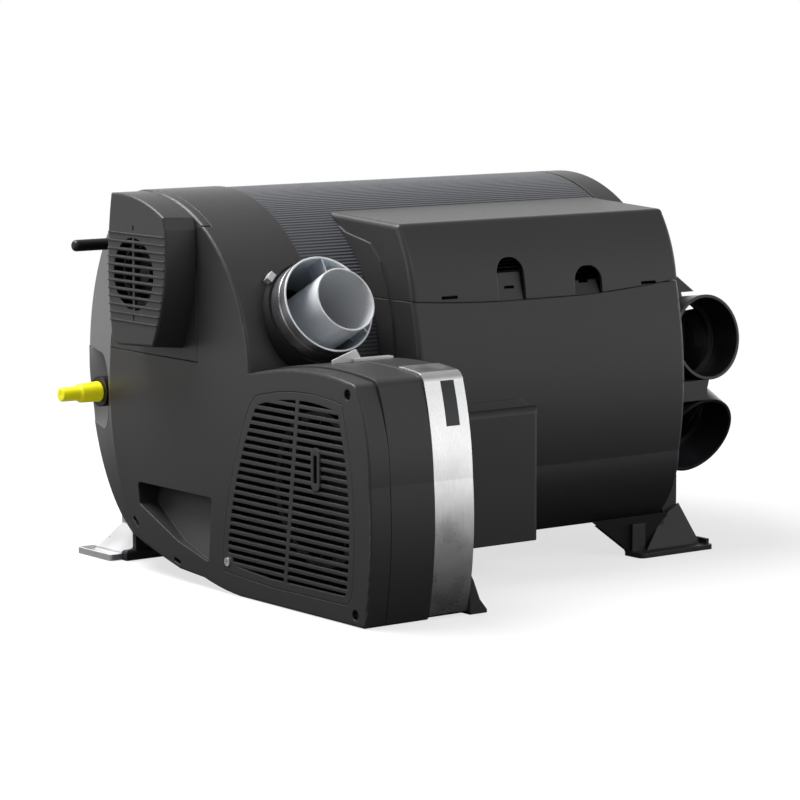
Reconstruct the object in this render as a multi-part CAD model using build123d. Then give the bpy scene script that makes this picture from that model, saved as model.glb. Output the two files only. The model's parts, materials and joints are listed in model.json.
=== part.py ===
from build123d import *
import os
from math import cos, radians, sin, sqrt, tan

os.makedirs("parts", exist_ok=True)

# Layout: x runs from the end cap face to the outlets, y from front to back, z up from the floor.

# Heater drum
axisY = 289.3
axisZ = 167.4
capR = 140.5
jacketStep = 1.1
jacketR = capR - jacketStep
jacketThick = 1.8
wall = 3.0
capDepth = 72.0
grooveX = 404.0
grooveWidth = 3.0
ringEndX = 431.5
outletEndX = 480.0
fit = 0.3
lipDepth = 8.0
rimRound = 2.6
seam = 0.5

# Bevelled rear corner of the end cap, part of a wide flat cone
coneY = 120.0
coneZ = 148.5
coneR = capR + 86.5
coneRun = 37.0
coneRise = 93.0

# Fan box
lobeDepth = 18.7
stripStartX = 59.5
boxEndX = 96.6
boxTopRise = 3.2
boxBackY = 193.0
stripThick = 1.0
stripBackY = 38.0
windowX0 = 75.0
windowX1 = 87.5
windowZ0 = 145.0
windowZ1 = 178.0
grilleThick = 3.0
grilleRim = 6.5
screwY = 179.3
screwZ = 24.9
slatPitch = 6.3
slotHeight = 3.3

# Blower hood
hoodOut = 27.5
hoodWall = 2.5
panelY = 219.0
panelZ = 177.0
panelRimX = 8.5
hoodSkirt = 5.2
hoodFlare = 2.4
hoodGap = 0.2
skirtInset = 0.25
ventY = 267.0
ventZ = 244.0
ventR = 28.5

# Flue
flueX = 62.5
flueStand = 29.0
flueTurn = 20.37
flueY = axisY - (capR + flueStand) * cos(radians(flueTurn))
flueZ = axisZ + (capR + flueStand) * sin(radians(flueTurn))
flueTilt = 27.0
flueR = 39.6
flueWall = 1.6
flueInnerR = 26.2
flueInnerShift = 11.4
flueInnerOut = 7.6
flueDepth = 36.0
flueSplit = 26.0
hoseLength = 8.0
beadHeight = 0.5
pipeStop = 1.2
beadR = flueR + beadHeight
sealR = 42.5
hoseClear = 45.6
bossR = 46.5

# Control housing
housingX0 = 127.0
housingX1 = 403.0
seamZ = 224.0
housingStand = 41.4
housingY = axisY - capR + jacketStep - housingStand
housingRound = 4.5
flankRise = 1.5
lowBoxX = 240.0
lowBoxY = housingY - 18.5
lowBoxTop = 137.0
lowBoxRound = 5.5

# Warm air outlets
outletX = 442.4
outletR = 35.6
outletBore = 33.0
outletDepth = 40.0
ledgeDepth = 30.0
outletStands = [34.6, 39.7]
outletAngles = [2.87, -24.9]
outletTilts = [7.3, -26.0]
chamberR = jacketR - 35.4
bridgeX = 438.7

# Connections on the bevelled corner
waterReach = capR - 54.78
waterTurn = -19.7
waterY = axisY + waterReach * cos(radians(waterTurn))
waterZ = axisZ + waterReach * sin(radians(waterTurn))
hoseReach = capR - 28.95
hoseTurn = 57.04
hoseY = axisY + hoseReach * cos(radians(hoseTurn))
hoseZ = axisZ + hoseReach * sin(radians(hoseTurn))
pipeR = 5.0
running = 0.08

# Fans
fanY = 92.0
fanZ = 90.0
fanR = 60.0
blowerR = 25.0
shaftR = 3.0
shaftGap = 0.05

# Tip of the yellow cap, the leftmost point
minX = -32.6


def save(name, *shapes):
    solids = [s for shape in shapes for s in shape.solids()]
    body = solids[0] if len(solids) == 1 else Compound(children=solids)
    export_step(home * body, "parts/" + name + ".step")


def sheetX(x):
    return Plane.YZ.offset(x)


def prismX(face, x0, x1):
    return extrude(sheetX(x0) * face, amount=x1 - x0)


# Outline given as (x, z) pairs, extruded from y0 back to y1
def prismY(points, y0, y1):
    face = make_face(Polyline(*points, close=True))
    return extrude(Plane.XZ.offset(-y0) * face, amount=-(y1 - y0))


def roundX(radius, x0, x1, y=axisY, z=axisZ):
    return prismX(Pos(y, z) * Circle(radius), x0, x1)


def ringX(outer, inner, x0, x1, y=axisY, z=axisZ):
    return prismX(Pos(y, z) * (Circle(outer) - Circle(inner)), x0, x1)


def block(x0, x1, y0, y1, z0, z1):
    return Pos((x0 + x1) / 2, (y0 + y1) / 2, (z0 + z1) / 2) * Box(x1 - x0, y1 - y0, z1 - z0)


def closed(*edges):
    return make_face(Curve() + list(edges))


def polygon(*points):
    return make_face(Polyline(*points, close=True))


def drumTop(y, radius=jacketR):
    return axisZ + sqrt(radius ** 2 - (y - axisY) ** 2)


def conePart(shift=0.0, length=130.0):
    grow = coneRise / coneRun
    place = Pos(shift + length / 2, coneY, coneZ) * Rot(0, 90, 0)
    return place * Cone(coneR, coneR + grow * length, length)


# Outline of the fan box face, front edge, top and bottom, closed inside the drum
def lobeFace(g=0.0, rise=0.0):
    top = rise - g
    browEnd = (10.6 - 1.1 * rise + g, 175.5 + 0.5 * top)
    roofStart = (16.8 - 0.8 * rise + g / 2, 180.7 + 0.25 * rise + top)
    turn = (12.9 - 1.05 * rise + 0.8 * g, 178.9 + 0.97 * rise - 0.8 * g)
    front = ThreePointArc((1.2 + g, 1.3 + g), (-5.4 + g, 45.6), (-5.1 + g, 105))
    brow = ThreePointArc((-5.1 + g, 105), (-1.2 + g, 142), browEnd)
    corner = ThreePointArc(browEnd, turn, roofStart)
    roof = ThreePointArc(roofStart, (75, 184.8 + top), (149.5, 175.0 + top))
    inside = Polyline((149.5, 175.0 + top), (axisY, axisZ), (332, 33.4 + g))
    belly = ThreePointArc((332, 33.4 + g), (290, 20.5 + g), (247, 9.6 + g))
    step = Line((247, 9.6 + g), (213, 7.4 + g))
    ramp = ThreePointArc((213, 7.4 + g), (190, 2.8 + g), (163, g))
    floor = Polyline((163, g), (3.0 + g, g), (1.2 + g, 1.3 + g))
    return closed(front, brow, corner, roof, inside, belly, step, ramp, floor)


# Outline of the intake grille, wider at the top front and narrower toward the lower back
def grilleFace(g=0.0):
    front = ThreePointArc((17.3 + g, 19.8 + g / 2), (13.4 + g, 65.3), (25.5 + g, 153 - g / 2))
    corner = Line((25.5 + g, 153 - g / 2), (28.5 + g * 0.8, 164 - g))
    top = ThreePointArc((28.5 + g * 0.8, 164 - g), (80, 167.8 - g), (140 - g / 2, 159 - g))
    turn = Line((140 - g / 2, 159 - g), (148 - g, 151 - g / 2))
    back = ThreePointArc((148 - g, 151 - g / 2), (174.5 - g, 85), (184.7 - g, 37.5))
    foot = Polyline((184.7 - g, 37.5), (183.6 - g, 17.1 + g), (122.7, 13.6 + g), (22.3 + g / 2, 14.5 + g))
    toe = Line((22.3 + g / 2, 14.5 + g), (17.3 + g, 19.8 + g / 2))
    return closed(front, corner, top, turn, back, foot, toe)


# Face of the raised blower hood, its top edge on the drum circle
def hoodFace(g=0.0, flare=0.0):
    radius = jacketR - g
    g = g - flare
    left = (299 - g, drumTop(299 - g, radius))
    right = (225 + g, drumTop(225 + g, radius))
    curlEnd = (222 + g, drumTop(225, radius) - 10.1)
    top = ThreePointArc(left, (262, drumTop(262, radius)), right)
    curl = Line(right, curlEnd)
    side = ThreePointArc(curlEnd, (223.5 + g, 237), (241 + g / 2, 189 + g))
    base = Line((241 + g / 2, 189 + g), (290 - g, 186.5 + g))
    toe = ThreePointArc((290 - g, 186.5 + g), (298 - g, 189.5 + g), (301 - g, 198))
    bend = ThreePointArc((301 - g, 198), (305 - g, 245), left)
    return closed(top, curl, side, base, toe, bend)


flueAxis = Vector(0, -cos(radians(flueTilt)), sin(radians(flueTilt)))
fluePlane = Plane(origin=(flueX, flueY, flueZ), x_dir=(1, 0, 0), z_dir=flueAxis)


# Tube or rod along the flue, measured inward from its rim
def flueRound(radius, t0, t1, shift=0.0):
    return extrude(fluePlane.offset(-t0) * Pos(shift, 0) * Circle(radius), amount=-(t1 - t0))


# Centre of the whole heater in plan, moved to the origin
minY = lobeFace().bounding_box().min.X
firstReach = (jacketR + outletStands[0]) * cos(radians(outletAngles[0]))
maxY = axisY + firstReach + outletR * sin(radians(outletTilts[0]))
midX = (minX + outletEndX) / 2
midY = (minY + maxY) / 2
home = Pos(-midX, -midY, 0)

drumFace = Pos(axisY, axisZ) * Circle(capR)
drumInner = Pos(axisY, axisZ) * Circle(capR - wall)

# End cap: drum end and fan box front in one moulding, with a rounded front rim
drumDisc = prismX(drumFace, 0, capDepth)
drumDisc = fillet(drumDisc.faces().sort_by(Axis.X)[0].edges(), rimRound)
lobeDisc = prismX(lobeFace(), 0, lobeDepth)
lobeRim = lobeDisc.faces().sort_by(Axis.X)[0].edges()
lobeRim = [edge for edge in lobeRim if edge.distance_to(Vector(0, axisY, axisZ)) > 50]
lobeDisc = fillet(lobeRim, rimRound * 0.7)
capOuter = (drumDisc + lobeDisc) & conePart()
capHollow = prismX(drumInner, wall, capDepth + 1) + prismX(lobeFace(wall), wall, lobeDepth + 1)
capHollow = capHollow & conePart(wall + 0.4)
endCap = capOuter - capHollow

# Tongue of the cap that carries the flue past the jacket edge
tongue = ringX(capR, capR - wall, capDepth - 1, flueX + bossR) & flueRound(bossR, 0, 60)
endCap = endCap + tongue

# Seat and opening for the grille
grilleSeat = prismX(grilleFace(-3.0) - grilleFace(4.0), wall, wall + 2.5)
endCap = endCap + grilleSeat - prismX(grilleFace(), -1, wall) - prismX(grilleFace(4.0), 0, wall + 3)

# Hand recess, a triangular pocket
recessFace = polygon((306.5, 72.2), (200.5, 72.2), (205.3, 20.8), (250, 32.0), (304.0, 54.5))
recessTop = 72.2
recessBase = 18.0
recessDepth = 24.0
recess = fillet(recessFace.vertices(), 3.0)
recessShell = offset(recess, wall, kind=Kind.ARC)


# The pocket floor slopes out from its deep top edge to the surface at the foot
def recessZone(grow):
    foot = (1.5 + grow, recessBase)
    head = (recessDepth + grow, recessTop)
    line = [(-2, recessBase - 8), foot, head, (recessDepth + grow, recessTop + 8), (-2, recessTop + 8)]
    return prismY(line, 190, 320)


endCap = endCap + (prismX(recessShell, wall - 1, recessDepth + wall) & recessZone(wall))
endCap = endCap - (prismX(recess, -1, recessDepth) & recessZone(0))

# Oval scoop in the bevel round the water connection, open toward the drum side
scoopY = waterY + 12
scoopZ = waterZ - 1
scoopNear = 17.0
scoopFar = 33.0
scoopHalfY = 30.0
scoopHalfZ = 31.0


def scoopOutline(grow):
    mouth = Pos(scoopY, scoopZ) * Ellipse(scoopHalfY + grow, scoopHalfZ + grow)
    return mouth + Pos(scoopY + 40, scoopZ) * Rectangle(80, 2 * (scoopHalfZ + grow))


def scoopZone(grow):
    line = [(-9, scoopY - 40), (scoopNear + grow, scoopY - 40), (scoopFar + grow, scoopY + 46), (-9, scoopY + 46)]
    return extrude(Plane.XY.offset(60) * polygon(*line), amount=160)


scoopCup = (prismX(scoopOutline(wall), 0, 50) & scoopZone(wall)) & conePart() & roundX(capR - 1, 0, 50)
endCap = endCap + scoopCup - (prismX(scoopOutline(0), -9, 50) & scoopZone(0))


# Opening behind the blower hood panel, with a ledge all round
panelRimZ = axisZ + capR - 24.4


def panelZone(gap):
    flat = block(-1, wall, panelY + gap, axisY + capR, panelZ + gap, axisZ + capR + 1)
    flat = flat & roundX(coneR - gap, -1, wall, coneY, coneZ)
    rim = ringX(capR + 1, capR - wall, -1, panelRimX - gap)
    rim = rim & block(-1, panelRimX, panelY - 9 + gap, 300, panelRimZ + gap, 320)
    return flat + rim


ledge = block(wall, wall + 2.5, panelY - 4, axisY + 60, panelZ - 4, axisZ + capR)
ledge = ledge & roundX(capR - 1, wall, wall + 2.5)
ledge = ledge & conePart(wall)
ledgeHole = block(wall - 1, wall + 3, panelY + 6, axisY + 46, panelZ + 6, ventZ + ventR + 12)
endCap = endCap + ledge - panelZone(0) - ledgeHole - prismX(hoodFace(-fit), -1, hoodSkirt + 1)

# Small moulded slots near the edge, along it
slotSpots = [(309.5, 39.4, 42), (249.7, 15.6, 16), (357.5, 239, 88)]
for spotY, spotZ, lean in slotSpots:
    slot = Pos(spotY, spotZ) * Rot(0, 0, lean) * RectangleRounded(9.5, 3.4, 1.2)
    endCap = endCap - prismX(slot, -1, 26)

# Screw wells at the fan box corners
screwSpots = [(21.7, 172.0), (12.3, 8.8)]
for spotY, spotZ in screwSpots:
    endCap = endCap + roundX(6.0, wall - 1, lobeDepth - 1, spotY, spotZ)
    endCap = endCap - roundX(4.0, -1, 5.0, spotY, spotZ) - roundX(2.1, 4, lobeDepth, spotY, spotZ)

# Flue hole, pipe holes and the lip that holds the jacket
hoseHole = roundX(pipeR + 0.6, -1, 60, hoseY, hoseZ)
waterHole = roundX(pipeR + 0.6, -1, 40, waterY, waterZ)
capLip = ringX(jacketR - jacketThick - fit, jacketR - jacketThick - fit - 2.4, capDepth - 6, capDepth + lipDepth)
capStep = ringX(capR - 1, jacketR - jacketThick - fit - 2.4, capDepth - 6, capDepth)
flueHole = flueRound(beadR + fit, -5, 70)
endCap = endCap + capLip + capStep - hoseHole - waterHole - flueHole
endCap = endCap + roundX(5.0, wall + 2, 14, screwY, screwZ) - roundX(2.1, -1, 14, screwY, screwZ)
save("end_cap", endCap)

# Blower hood panel
panelShell = (capOuter - capHollow) & panelZone(seam)
hoodBody = loft([sheetX(-hoodOut) * hoodFace(), sheetX(-hoodGap) * hoodFace(0, hoodFlare)], ruled=True)
hoodBody = fillet(hoodBody.faces().sort_by(Axis.X)[0].edges(), 2.0)
hoodBody = hoodBody + prismX(hoodFace(skirtInset), -hoodOut / 2, hoodSkirt)
hood = panelShell + hoodBody - prismX(hoodFace(hoodWall), -hoodOut + hoodWall, hoodSkirt + 1)
for i in range(-6, 6):
    ribZ = ventZ + i * slatPitch
    rib = block(-hoodOut - 0.9, -hoodOut + 1, 215, 310, ribZ - 0.6, ribZ + 0.6)
    hood = hood + (rib & prismX(hoodFace(1.5), -hoodOut - 2, 0))
ventSlots = Sketch()
for i in range(-5, 5):
    slotZ = ventZ + (i + 0.5) * slatPitch
    ventSlots = ventSlots + Pos(ventY, slotZ) * Rectangle(2 * ventR, 3.6)
ventSlots = ventSlots & (Pos(ventY, ventZ) * Circle(ventR))
ventSlots = ventSlots - Pos(ventY, ventZ) * Rectangle(2.6, 2 * ventR)
hood = hood - prismX(ventSlots, -hoodOut - 2, -hoodOut + hoodWall + 1)
for markZ in (ventZ + 36, ventZ - 34.5):
    hood = hood - block(-hoodOut - 1, -hoodOut + 1, ventY - 0.9, ventY + 0.9, markZ - 2, markZ + 2)
save("hood_cover", hood)

# Intake grille with its slats, slanted middle rib and oval boss
slots = Sketch()
for i in range(23):
    rowZ = 21.5 + i * slatPitch
    slots = slots + Pos(100, rowZ) * Rectangle(190, slotHeight)
slots = slots & grilleFace(grilleRim)
spine = polygon((82.0, 165), (86.6, 165), (104.6, 15), (100.0, 15))
boss = Pos(61.5, 111.5) * Rot(0, 0, 90) * RectangleRounded(33, 11, 5.4)
screwPad = Pos(screwY, screwZ) * Circle(8.0)
slots = slots - spine - boss - screwPad
grille = prismX(grilleFace(0.25), 0, grilleThick) - prismX(slots, -1, grilleThick + 1)
bossSlot = Pos(61.5, 111.5) * Rot(0, 0, 90) * RectangleRounded(22, 4.4, 2.1)
grille = grille + prismX(boss, -0.8, grilleThick) - prismX(bossSlot, -2, grilleThick + 1)
grille = grille - roundX(3.6, -1, 1.4, screwY, screwZ) - roundX(2.1, 1, grilleThick + 1, screwY, screwZ)
save("intake_grille", grille)


def screw(y, z, x, headR, length):
    head = roundX(headR, x, x + 2.2, y, z)
    cross = block(x - 1, x + 1.0, y - headR * 0.7, y + headR * 0.7, z - 0.5, z + 0.5)
    cross = cross + block(x - 1, x + 1.0, y - 0.5, y + 0.5, z - headR * 0.7, z + headR * 0.7)
    return head - cross + roundX(1.9, x + 2.2, x + length, y, z)


save("grille_screw", screw(screwY, screwZ, -0.8, 3.4, 12))
save("cap_screws", *[screw(y, z, 2.8, 3.6, lobeDepth - 3) for y, z in screwSpots])

# Fan box shell behind the cap, curved at the back to sit against the drum
boxZone = Pos((boxBackY - 30) / 2, 100) * Rectangle(boxBackY + 30, 240)
drumClear = roundX(capR + fit, -1, outletEndX + 1)
innerClear = roundX(capR + fit + wall, -1, outletEndX + 1)


def boxPart(g, rise, x0, x1):
    return prismX(lobeFace(g, rise) & boxZone, x0, x1)


boxX0 = lobeDepth + seam
stripSeat = stripThick + 0.1
boxOuter = boxPart(0, boxTopRise / 2, boxX0, stripStartX)
boxOuter = boxOuter + boxPart(stripSeat, boxTopRise, stripStartX, boxEndX) - drumClear
innerZone = Pos((boxBackY - wall - 30) / 2, 100) * Rectangle(boxBackY - wall + 30, 240)
boxHollow = prismX(lobeFace(wall + stripSeat, boxTopRise / 2) & innerZone, 0, boxEndX - wall) - innerClear
fanBox = boxOuter - boxHollow
airPort = Pos(60, 172, 110) * Box(50, 60, 60)
fanBox = fanBox - airPort - flueRound(sealR + fit, -5, 60) - flueRound(hoseClear, -5, hoseLength + 1)
save("fan_box_shell", fanBox)

# Brushed strip round the right front edge and the dark window in it
stripFace = (lobeFace(0, boxTopRise) - lobeFace(stripThick, boxTopRise)) & (Pos(0, 96) * Rectangle(2 * stripBackY, 186))
strip = prismX(stripFace, stripStartX + 0.3, boxEndX)
windowHole = block(windowX0 - 0.1, windowX1 + 0.1, -20, 30, windowZ0 - 0.1, windowZ1 + 0.1)
save("trim_strip", strip - windowHole)
windowFace = lobeFace(0.3, boxTopRise) - lobeFace(stripThick, boxTopRise)
window = prismX(windowFace, windowX0, windowX1) & block(windowX0, windowX1, -20, 30, windowZ0, windowZ1)
save("strip_window", window)

# Control housing: front curve from the seam down and under to the drum
housingBack = jacketR + fit


def housingFace(g=0.0):
    base = housingY + g
    front = ThreePointArc((base, 226), (base - 10.3, 160), (base - 5.5, 86))
    chin = ThreePointArc((base - 5.5, 86), (base + 0.5, 57), (base + 18.5 - g / 2, 29.5 + g))
    inside = Polyline((base + 18.5 - g / 2, 29.5 + g), (215, 37 + g), (axisY, axisZ))
    over = Polyline((axisY, axisZ), (axisY, 250), (base, 226))
    return closed(front, chin, inside, over)


def coverFace(g=0.0):
    base = housingY + g
    slope = ThreePointArc((base, 200), (base + 3.7, 248), (base + 18.7, 281 - g / 2))
    nose = ThreePointArc((base + 18.7, 281 - g / 2), (base + 20.1, 283.4 - g), (base + 23, 284.6 - g))
    top = Line((base + 23, 284.6 - g), (223, 289.2 - g))
    inside = Polyline((223, 289.2 - g), (axisY, axisZ), (base, 200))
    return closed(slope, nose, top, inside)


# The seam sags a little in the middle and rises toward the right end
def seamFace(gap=0.0, base=150.0):
    low = seamZ - 3.4 + gap
    left = ThreePointArc((housingX0 - 5, seamZ + 1.6 + gap), (175, low + 1.4), (218, low))
    flat = Line((218, low), (296, low))
    right = ThreePointArc((296, low), (350, low + 2.6), (housingX1 + 5, seamZ + 4.6 + gap))
    under = Polyline((housingX1 + 5, seamZ + 4.6 + gap), (housingX1 + 5, base), (housingX0 - 5, base))
    close = Line((housingX0 - 5, base), (housingX0 - 5, seamZ + 1.6 + gap))
    return closed(left, flat, right, under, close)


def zoneY(face, y0, y1):
    return extrude(Plane.XZ.offset(-y0) * face, amount=-(y1 - y0))


belowSeam = zoneY(seamFace(0, -5), 60, 320)
belowCover = zoneY(seamFace(fit, -5), 60, 320)
housingClear = roundX(housingBack, housingX0 - flankRise - 1, housingX1 + 1)
housingInner = roundX(housingBack + wall, housingX0 - 1, housingX1 + 1)


# Both ends of a long body rounded along its outer edges
def roundedEnds(body, count):
    for end in (0, -1):
        rim = body.faces().sort_by(Axis.X)[end].edges().sort_by(Axis.Y)[:count]
        body = fillet(rim, housingRound)
    return body


flankLine = [(215.3, 284), (195.2, 274.3), (162.1, 267.7), (149.1, 253.7), (140, 232.4), (133.5, 209.3)]
flankLine = flankLine + [(130.9, 179.6), (131.5, 130), (137, 90), (150, 56), (180, 42)]
flankPad = prismX(polygon(*flankLine, (axisY, axisZ)), housingX0 - flankRise, housingX0 + 1)
housingOuter = roundedEnds(prismX(housingFace(), housingX0, housingX1), 2)
lowBox = block(housingX0, lowBoxX, lowBoxY, housingY + 7.5, 29.5, lowBoxTop)
lowBoxEdges = lowBox.edges().filter_by(Axis.Z).sort_by(Axis.Y)[:2]
lowBoxEdges = lowBoxEdges + lowBox.faces().sort_by(Axis.Z)[-1].edges().sort_by(Axis.Y)[:1]
lowBox = fillet(lowBoxEdges, lowBoxRound)
lowLip = prismY([(129, 130), (129, 143.6), (225, 143.6), (237, 136), (237, 130)], housingY - 11.5, housingY)
housingOuter = (housingOuter + lowBox + lowLip + flankPad) & belowSeam
housingHollow = prismX(housingFace(wall), housingX0 + wall, housingX1 - wall) - housingInner
housing = housingOuter - housingClear - housingHollow
save("control_housing", housing)

# Service cover with two rounded latch notches in its lower edge and two small slots
coverOuter = roundedEnds(prismX(coverFace(), housingX0, housingX1), 3)
coverOuter = (coverOuter + flankPad) - housingClear - belowCover
coverHollow = prismX(coverFace(wall), housingX0 + wall, housingX1 - wall)
cover = coverOuter - coverHollow
notchSpots = [(226, 254.7, 13.8), (305.5, 244.0, 14.3)]
for notchX, notchZ, half in notchSpots:
    shape = Pos(notchX, notchZ - 20) * RectangleRounded(2 * half, 40, 12.5)
    shape = shape + Pos(notchX, notchZ - 34) * Rectangle(2 * half, 20)
    cover = cover - zoneY(shape, 95, 130)
for markX in (163, 369.5):
    cover = cover - block(markX - 8, markX + 8, 95, housingY + 2.6, seamZ + 1.6, seamZ + 3.8)
save("service_cover", cover)

# Warm air end: drum ring, low dome and a raised air chamber on each side
outletCap = roundX(jacketR, grooveX + grooveWidth, ringEndX)
domeR = jacketR - 29.4
domeX = 470.0
domePlace = Pos((ringEndX + domeX) / 2, axisY, axisZ) * Rot(0, 90, 0)
outletCap = outletCap + domePlace * Cone(jacketR - 2, domeR, domeX - ringEndX)
outletCap = outletCap + roundX(domeR, domeX, outletEndX - 4)


def chamber(radius, root, x0, x1, low, high, side):
    far = 2 * radius
    wedge = [(axisY, axisZ)]
    for angle in (low, (low + high) / 2, high):
        wedge.append((axisY + side * far * cos(radians(angle)), axisZ + far * sin(radians(angle))))
    return prismX(polygon(*wedge) & (Pos(axisY, axisZ) * (Circle(radius) - Circle(root))), x0, x1)


chamberLow = -39.0
chamberHigh = 12.0
capAir = roundX(jacketR - wall, grooveX, ringEndX - wall)
innerPlace = Pos((ringEndX + domeX) / 2 - wall, axisY, axisZ) * Rot(0, 90, 0)
capAir = capAir + innerPlace * Cone(jacketR - 2 - wall, domeR - wall, domeX - ringEndX)
capAir = capAir + roundX(domeR - wall, domeX - wall - 1, outletEndX - 4 - wall)
for side in (-1, 1):
    outletCap = outletCap + chamber(jacketR, chamberR, ringEndX - 1, outletEndX, chamberLow, chamberHigh, side)
    airLow, airHigh = chamberLow + 1.5, chamberHigh - 1.5
    capAir = capAir + chamber(jacketR - wall, chamberR + wall, ringEndX - 4, outletEndX - wall, airLow, airHigh, side)
outletCap = outletCap - capAir
spigotR = jacketR - jacketThick - fit
outletCap = outletCap + ringX(spigotR, spigotR - 2.4, grooveX - lipDepth, grooveX + grooveWidth + 2)
finShape = zoneY(polygon((ringEndX - 1, 239.5), (463.5, 210), (ringEndX - 1, 210)), axisY - capR, axisY)
fin = ringX(jacketR, jacketR - 3, ringEndX - 1, 465) & finShape
outletCap = outletCap + fin


def mouth(i):
    reach = jacketR + outletStands[i]
    return axisY - reach * cos(radians(outletAngles[i])), axisZ + reach * sin(radians(outletAngles[i]))


def outletPlane(i):
    y, z = mouth(i)
    tilt = outletTilts[i]
    return Plane(origin=(outletX, y, z), x_dir=(1, 0, 0), z_dir=(0, -cos(radians(tilt)), sin(radians(tilt))))


def outletRound(plane, radius, t0, t1):
    return extrude(plane.offset(-t0) * Circle(radius), amount=-(t1 - t0))


# Where the two outlet axes of one side meet, and the wedge between them
firstTan, secondTan = tan(radians(outletTilts[0])), tan(radians(outletTilts[1]))
firstY, firstZ = mouth(0)
secondY, secondZ = mouth(1)
crossY = (firstZ - secondZ + firstTan * firstY - secondTan * secondY) / (firstTan - secondTan)
crossZ = firstZ - firstTan * (crossY - firstY)
middle = (outletTilts[0] + outletTilts[1]) / 2
backSide = Plane.XZ.offset(-axisY)
bridge = block(grooveX + grooveWidth, bridgeX, firstY - 4.5, axisY - jacketR + 8, secondZ + 32, firstZ - 35)
outlets = []
holes = []
for i in range(2):
    plane = outletPlane(i)
    hole = outletRound(plane, outletR + 0.1, -5, 55)
    holes.append(hole)
    tube = outletRound(plane, outletR, 0, outletDepth) - outletRound(plane, outletBore, -1, outletDepth + 1)
    ledgeRing = outletRound(plane, outletBore + 1, ledgeDepth, ledgeDepth + 2)
    ledgeRing = ledgeRing - outletRound(plane, outletBore - 3.5, ledgeDepth - 1, ledgeDepth + 3)
    lift = 150 if i == 0 else -150
    half = Pos(outletX, crossY, crossZ) * Rot(-middle, 0, 0) * Pos(0, 0, lift) * Box(200, 600, 299.6)
    tube = (tube + ledgeRing) & half
    outlets.append(tube)
    outlets.append(mirror(tube, about=backSide))
bridge = bridge - holes[0] - holes[1] + mirror(bridge - holes[0] - holes[1], about=backSide)
for hole in holes:
    outletCap = outletCap - hole
    outletCap = outletCap - mirror(hole, about=backSide)
save("outlet_cap", outletCap + bridge)
for i, tube in enumerate(outlets):
    save("air_outlet_" + str(i + 1), tube)

# Jacket between the two end mouldings
jacket = ringX(jacketR, jacketR - jacketThick, capDepth + fit, grooveX - 0.2)
jacket = jacket - flueRound(bossR + fit, -5, 70)
save("jacket", jacket)

# Flue: outer tube with a bead that stops the hose, inner tube set off centre
flueOuter = flueRound(flueR, 0, flueDepth) + flueRound(beadR, hoseLength, flueDepth)
flueOuter = flueOuter - flueRound(flueR - flueWall, -1, flueDepth + 1)
flueBore = flueInnerR - flueWall
flueInner = flueRound(flueInnerR, -flueInnerOut, flueSplit, flueInnerShift)
flueInner = flueInner - flueRound(flueBore, -flueInnerOut - 1, 63, flueInnerShift)
flueElbow = flueRound(flueInnerR, flueSplit, 62, flueInnerShift)
flueElbow = flueElbow - flueRound(flueBore - pipeStop, flueSplit - 1, 63, flueInnerShift)
save("flue_outer", flueOuter)
save("flue_inner", flueInner)
save("flue_elbow", flueElbow)
seal = flueRound(sealR, 19.5, 40) - flueRound(beadR + 0.1, 17, 41) - roundX(capR, -1, 200)
save("flue_seal", seal)

# Webs that join the two flue tubes
webHole = flueRound(flueInnerR, -flueInnerOut - 2, 60, flueInnerShift)
webLimit = flueRound(flueR - flueWall, 0, flueDepth) - webHole
webBlock = Pos(6.05, 31.5) * Rot(0, 0, 3.6) * Rectangle(1.6, 16)
webTop = extrude(fluePlane * webBlock, amount=-20) & webLimit
webBlock = Pos(27.5, -24.3) * Rot(0, 0, 25.5) * Rectangle(1.6, 14)
webLow = extrude(fluePlane * webBlock, amount=-20) & webLimit
save("flue_webs", webTop, webLow)

# Clamp ear on the upper left of the flue seal
earTurn = Rot(0, 0, 133)
ear = fluePlane * earTurn * Pos(sealR + 2.6, 0, -22.5) * Box(5, 8, 6)
earHole = fluePlane * earTurn * Pos(sealR + 2.6, 0, -22) * Rot(90, 0, 0) * Cylinder(1.4, 20)
save("flue_clip", ear - earHole - roundX(capR, 0, 120))

# Folded metal bracket under the flue, on the fan box roof
roofZ = 188.4
strut = block(54, 91, 86, 92.5, roofZ - 4, roofZ)
gussetLine = [(35.8, roofZ - 4), (35.8, roofZ), (57.7, roofZ + 7.1), (62.4, roofZ), (62.4, roofZ - 4)]
gusset = prismY(gussetLine, 89, 90.5)
bracket = strut + gusset - flueRound(hoseClear, -5, 60) - boxOuter
save("flue_bracket", bracket)

# Black collar and pipe of the water connection, with its yellow transport cap
collarX = 4.0
collar = (roundX(12.5, collarX, 40, waterY, waterZ) & scoopZone(0)) - roundX(pipeR - 1.4, -1, 41, waterY, waterZ)
waterPipe = roundX(pipeR, -12, 56, waterY, waterZ) - roundX(pipeR - 1.4, -13, 57, waterY, waterZ)
save("water_connector", collar + waterPipe)
capStart = collarX - fit
yellow = fillet(roundX(8.2, -12.7, capStart, waterY, waterZ).faces().sort_by(Axis.X)[-1].edges(), 1.0)
yellow = yellow + roundX(4.6, minX, -12.7, waterY, waterZ)
yellow = yellow + Pos(-14.4, waterY, waterZ) * Rot(0, -90, 0) * Cone(8.2, 5.6, 3.4)
yellow = yellow - roundX(pipeR + running, -12.5, 30, waterY, waterZ)
save("yellow_cap", yellow)

# Second pipe behind the hood with its long black cap
hosePipe = roundX(pipeR - 1.4, -14, 62, hoseY, hoseZ) - roundX(pipeR - 2.6, -15, 63, hoseY, hoseZ)
save("gas_pipe", hosePipe)
tipX = -31.8
blackCap = roundX(4.7, tipX, 7.5, hoseY, hoseZ)
blackCap = fillet(blackCap.faces().sort_by(Axis.X)[0].edges(), 3.5)
blackCap = blackCap - roundX(pipeR - 1.4 + running, -14.5, 30, hoseY, hoseZ)
save("black_cap", blackCap)

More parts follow.
